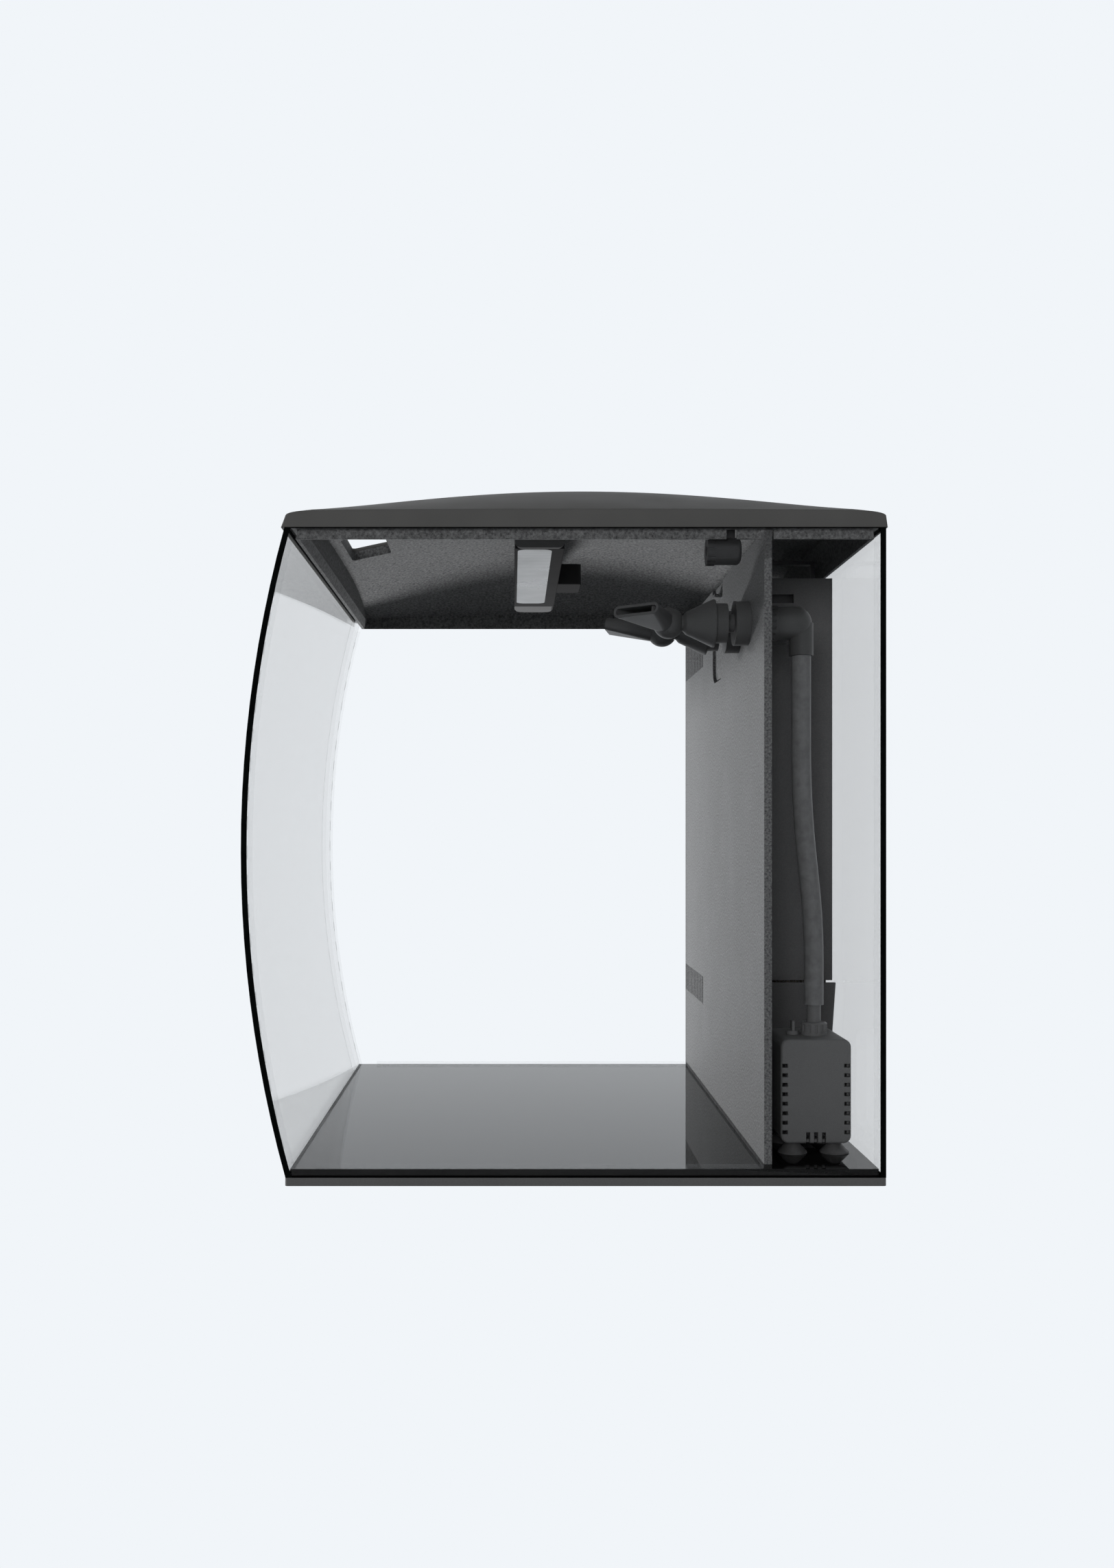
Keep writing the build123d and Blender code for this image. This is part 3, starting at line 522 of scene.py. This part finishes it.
def lid_outline(x, half, front, rear, foot, drop):
    """Outline of the lid at one x, front foot over the top to rear foot, as (y, z)."""
    shoulder = SHOULDER - drop
    setback = RIM_SETBACK + RIM_SETBACK_GAIN * abs(x / half) ** 3
    low_front = (front + FRONT_LEAN, shoulder)
    low_rear = (rear - REAR_LEAN, shoulder)
    start = front + setback + RIM_BLEND
    end = rear - setback - RIM_BLEND
    corner_front = (front + 3.4, dome_z(x, front + 4.0, half) - 0.6 - drop)
    corner_rear = (rear - 2.2, dome_z(x, rear - 4.0, half) - 0.6 - drop)
    points = [(front, foot), (front + FRONT_LEAN / 2, (foot + shoulder) / 2), low_front]
    points += soft_corner(low_front, corner_front, (start, dome_z(x, start, half) - drop), CORNER_STEPS)
    for i in range(1, ARCH_STEPS):
        y = start + (end - start) * i / ARCH_STEPS
        points.append((y, dome_z(x, y, half) - drop))
    tail = soft_corner(low_rear, corner_rear, (end, dome_z(x, end, half) - drop), CORNER_STEPS)
    points += list(reversed(tail))
    return points + [low_rear, (rear - REAR_LEAN / 2, (foot + shoulder) / 2), (rear, foot)]


def rim_loop(rows):
    """Vertices around the open underside of the stacked outlines."""
    return [row[0] for row in rows] + [row[-1] for row in reversed(rows)]


def lid_skin(material):
    """Thin domed shell with rounded rims, open underneath, with the feeding port cut out."""
    (left, right), (front, rear), height = box_mm("lid_shell")
    half = (right - left) / 2
    foot = height[0]
    bm = bmesh.new()

    def row(x, inset, wall):
        outline = lid_outline(x, half, front + inset + wall, rear - inset - wall, foot, inset + wall)
        return [bm.verts.new((x * MM, y * MM, z * MM)) for y, z in outline]

    shares = [math.sin(math.radians(90 * i / WIDTH_STEPS)) for i in range(-WIDTH_STEPS, WIDTH_STEPS + 1)]
    flat = half - EDGE_RADIUS
    quarter = [math.radians(90 * i / EDGE_STEPS) for i in range(EDGE_STEPS + 1)]
    caps = [(flat + EDGE_RADIUS * math.sin(a), EDGE_RADIUS * (1 - math.cos(a))) for a in quarter]
    stations = [(-x, inset) for x, inset in reversed(caps[1:])]
    stations += [(flat * share, 0.0) for share in shares] + caps[1:]
    outer = [row(x, inset, 0.0) for x, inset in stations]
    inner = [row((half - SHELL_WALL) * share, 0.0, SHELL_WALL) for share in shares]
    for rows in (outer, inner):
        for first, second in zip(rows, rows[1:]):
            bridge(bm, first, second, closed=False)
    for end in (outer[0], outer[-1], inner[0], inner[-1]):
        bm.faces.new(end)
    edges = []
    for rim in (rim_loop(outer), rim_loop(inner)):
        for first, second in zip(rim, rim[1:] + rim[:1]):
            edges.append(bm.edges.get((first, second)) or bm.edges.new((first, second)))
    bmesh.ops.triangle_fill(bm, edges=edges, use_beauty=True, use_dissolve=False)
    bmesh.ops.recalc_face_normals(bm, faces=bm.faces)
    skin = mesh_object("lid_skin", bm, material)
    return cut_port(skin)


def rounded_prism(x, y, z, radius):
    """Upright prism with rounded corners, as a bmesh."""
    bm = bmesh.new()
    rows = []
    for height in z:
        ring = []
        for turn, (cx, cy) in enumerate(((x[1], y[1]), (x[0], y[1]), (x[0], y[0]), (x[1], y[0]))):
            sx = -1 if cx == x[1] else 1
            sy = -1 if cy == y[1] else 1
            for i in range(7):
                a = math.radians(90 * turn + 15 * i)
                px = cx + radius * (sx + math.cos(a))
                py = cy + radius * (sy + math.sin(a))
                ring.append(bm.verts.new((px * MM, py * MM, height * MM)))
        rows.append(ring)
    bridge(bm, rows[0], rows[1])
    bm.faces.new(list(reversed(rows[0])))
    bm.faces.new(rows[1])
    bmesh.ops.recalc_face_normals(bm, faces=bm.faces)
    return bm


def cut_port(skin):
    """Takes the feeding port out of the skin. The collar's inner faces give its size."""
    (x0, x1), (y0, y1) = box_mm("feeding_port_collar")[:2]
    x = (x0 + COLLAR_WALL, x1 - COLLAR_WALL)
    y = (y0 + COLLAR_WALL, y1 - COLLAR_WALL)
    hole = rounded_prism(x, y, PORT_CUT, PORT_RADIUS)
    cutter = mesh_object("port_cutter", hole, skin.data.materials[0])
    tool = skin.modifiers.new("port", "BOOLEAN")
    tool.operation = "DIFFERENCE"
    tool.solver = "EXACT"
    tool.object = cutter
    graph = bpy.context.evaluated_depsgraph_get()
    cut = bpy.data.meshes.new_from_object(skin.evaluated_get(graph))
    skin.modifiers.clear()
    skin.data = cut
    bpy.data.objects.remove(cutter)
    return skin


# ---------------------------------------------------------------- soft filter media
def foam_piece(node, name, material, step, seed, radius=4.0):
    """Cut block of open-cell foam: soft corners, faces that wander a little and ragged pores."""
    sides = box_mm(node)
    middle = Vector([(a + b) / 2 for a, b in sides])
    reach = Vector([(b - a) / 2 for a, b in sides])
    bm = bmesh.new()
    bmesh.ops.create_cube(bm, size=2.0)
    for axis in range(3):
        cuts = max(2, int(2 * reach[axis] / step))
        along = [e for e in bm.edges if abs((e.verts[0].co - e.verts[1].co)[axis]) > 1.5]
        bmesh.ops.subdivide_edges(bm, edges=along, cuts=cuts, use_grid_fill=True)
    shift = Vector((seed * 13.7, seed * 5.1, seed * 9.3))
    for vertex in bm.verts:
        spot = Vector([vertex.co[i] * reach[i] for i in range(3)])
        core = Vector([max(-reach[i] + radius, min(reach[i] - radius, spot[i])) for i in range(3)])
        away = spot - core
        if away.length > 1e-6:
            out = away.normalized()
            wander = mathutils.noise.noise((spot + shift) * 0.05) * 0.5
            pit = abs(mathutils.noise.noise((spot + shift) * 0.55)) * 0.7
            spot = core + out * (radius - 0.5 + wander - pit)
        vertex.co = (middle + spot) * MM
    return mesh_object(name, bm, material, 60.0)


def signed_power(value, share):
    """A power of the size that keeps the sign: it squares off a round outline."""
    return math.copysign(abs(value) ** share, value)


def pouch_ring(bm, slope, middle, reach, shift, lump, height):
    """One level ring of a boxy bag, with a bump over each lump that it holds."""
    flat = signed_power(math.cos(slope), 0.42)
    rise = signed_power(math.sin(slope), 0.55)
    ring = []
    for turn in range(POUCH_TURNS):
        a = 2 * math.pi * turn / POUCH_TURNS
        spot = Vector((reach.x * flat * signed_power(math.cos(a), 0.45),
                       reach.y * flat * signed_power(math.sin(a), 0.55), reach.z * rise))
        cell = mathutils.noise.voronoi((spot + shift) / lump)[0][0]
        spot *= 1.0 - 0.06 * (1 - abs(math.sin(2 * a))) * (spot.z / reach.z) ** 2
        spot -= spot.normalized() * (height * min(1.0, cell * 1.6) + 1.0)
        ring.append(bm.verts.new((middle + spot) * MM))
    return ring


def frill_ring(bm, top, radius, rise, seed):
    """One ring of the folded cloth around the neck."""
    ring = []
    for turn in range(POUCH_TURNS):
        a = 2 * math.pi * turn / POUCH_TURNS
        fold = radius * (1 + 0.16 * math.sin(9 * a + seed) + 0.07 * math.sin(17 * a))
        ring.append(bm.verts.new((top + Vector((fold * math.cos(a), fold * math.sin(a), rise))) * MM))
    return ring


def neck_tie(bm, top):
    """Round cord tied about the neck."""
    loop = []
    for i in range(48):
        a = 2 * math.pi * i / 48
        side = Vector((math.cos(a), math.sin(a), 0))
        centre = top + side * NECK + Vector((0, 0, 0.8))
        ring = []
        for k in range(8):
            b = math.radians(45 * k)
            spot = centre + side * TIE * math.cos(b) + Vector((0, 0, TIE * math.sin(b)))
            ring.append(bm.verts.new(spot * MM))
        loop.append(ring)
    for first, second in zip(loop, loop[1:] + loop[:1]):
        bridge(bm, first, second)


def media_pouch(node, name, material, lump, height, seed):
    """Filled net bag: bulging body that follows what it holds, gathered neck, tie and frill."""
    sides = box_mm(node)
    middle = Vector([(a + b) / 2 for a, b in sides])
    reach = Vector([(b - a) / 2 for a, b in sides])
    shift = Vector((seed * 7.3, seed * 3.9, seed * 11.1))
    bm = bmesh.new()
    rows = []
    for ring in range(POUCH_RINGS + 1):
        slope = math.pi * (ring + 0.5) / (POUCH_RINGS + 1) - math.pi / 2
        rows.append(pouch_ring(bm, slope, middle, reach, shift, lump, height))
    top = middle + Vector((0, 0, reach.z - 2.0))
    frill = ((NECK + 7, -3.5), (NECK + 2, -1.5), (NECK, 0.5), (NECK + 0.4, 1.5), (NECK + 4, 4.0),
             (NECK + 8, 5.5))
    rows += [frill_ring(bm, top, radius, rise, seed) for radius, rise in frill]
    for first, second in zip(rows, rows[1:]):
        bridge(bm, first, second)
    bm.faces.new(list(reversed(rows[0])))
    neck_tie(bm, top)
    bmesh.ops.recalc_face_normals(bm, faces=bm.faces)
    return mesh_object(name, bm, material, 60.0)


# ---------------------------------------------------------------- stage, light and camera
def pale_surround(tree, kind):
    """Pale light that the picture, glass and mirrors see in full, and matt surfaces in part."""
    path = add(tree, "ShaderNodeLightPath").outputs["Is Diffuse Ray"]
    strength = remap(tree, path, 0.0, 1.0, 1.0, AMBIENT)
    return add(tree, kind, {"Color": PALE, "Strength": strength}).outputs[0]


def make_stage():
    """Endless pale floor and surround in one colour."""
    bpy.ops.mesh.primitive_plane_add(size=30.0, location=(0, 0, -0.0005))
    floor = bpy.context.object
    floor.name = "studio_floor"
    material, tree = new_material("studio_floor")
    close(tree, pale_surround(tree, "ShaderNodeEmission"))
    floor.data.materials.append(material)
    world = bpy.data.worlds.new("studio")
    bpy.context.scene.world = world
    world.use_nodes = True
    tree = world.node_tree
    tree.nodes.clear()
    out = tree.nodes.new("ShaderNodeOutputWorld")
    tree.links.new(pale_surround(tree, "ShaderNodeBackground"), out.inputs["Surface"])


def soft_light(name, place, target, size, power, colour):
    """Disk light that lights the object but isn't seen itself, nor mirrored."""
    data = bpy.data.lights.new(name, "AREA")
    data.shape = "DISK"
    data.size = size
    data.energy = power
    data.color = colour
    lamp = bpy.data.objects.new(name, data)
    lamp.location = place
    lamp.rotation_euler = (Vector(target) - Vector(place)).to_track_quat("-Z", "Y").to_euler()
    lamp.visible_camera = False
    lamp.visible_glossy = False
    bpy.context.scene.collection.objects.link(lamp)


def make_camera():
    """Level camera beside the pump end, looking across the width of the tank."""
    data = bpy.data.cameras.new("camera")
    data.lens = CAMERA_LENS
    data.shift_x, data.shift_y = CAMERA_SHIFT
    camera = bpy.data.objects.new("camera", data)
    camera.location = CAMERA_PLACE
    camera.rotation_euler = (math.radians(90), 0, math.radians(90))
    bpy.context.scene.collection.objects.link(camera)
    bpy.context.scene.camera = camera


make_camera()
make_stage()
for light in LIGHTS:
    soft_light(*light)
finish_tank()
finish_compartment()
finish_pump()
finish_outlets()
finish_lid()
finish_lamp()
finish_media()
bpy.context.scene.view_settings.view_transform = "Standard"
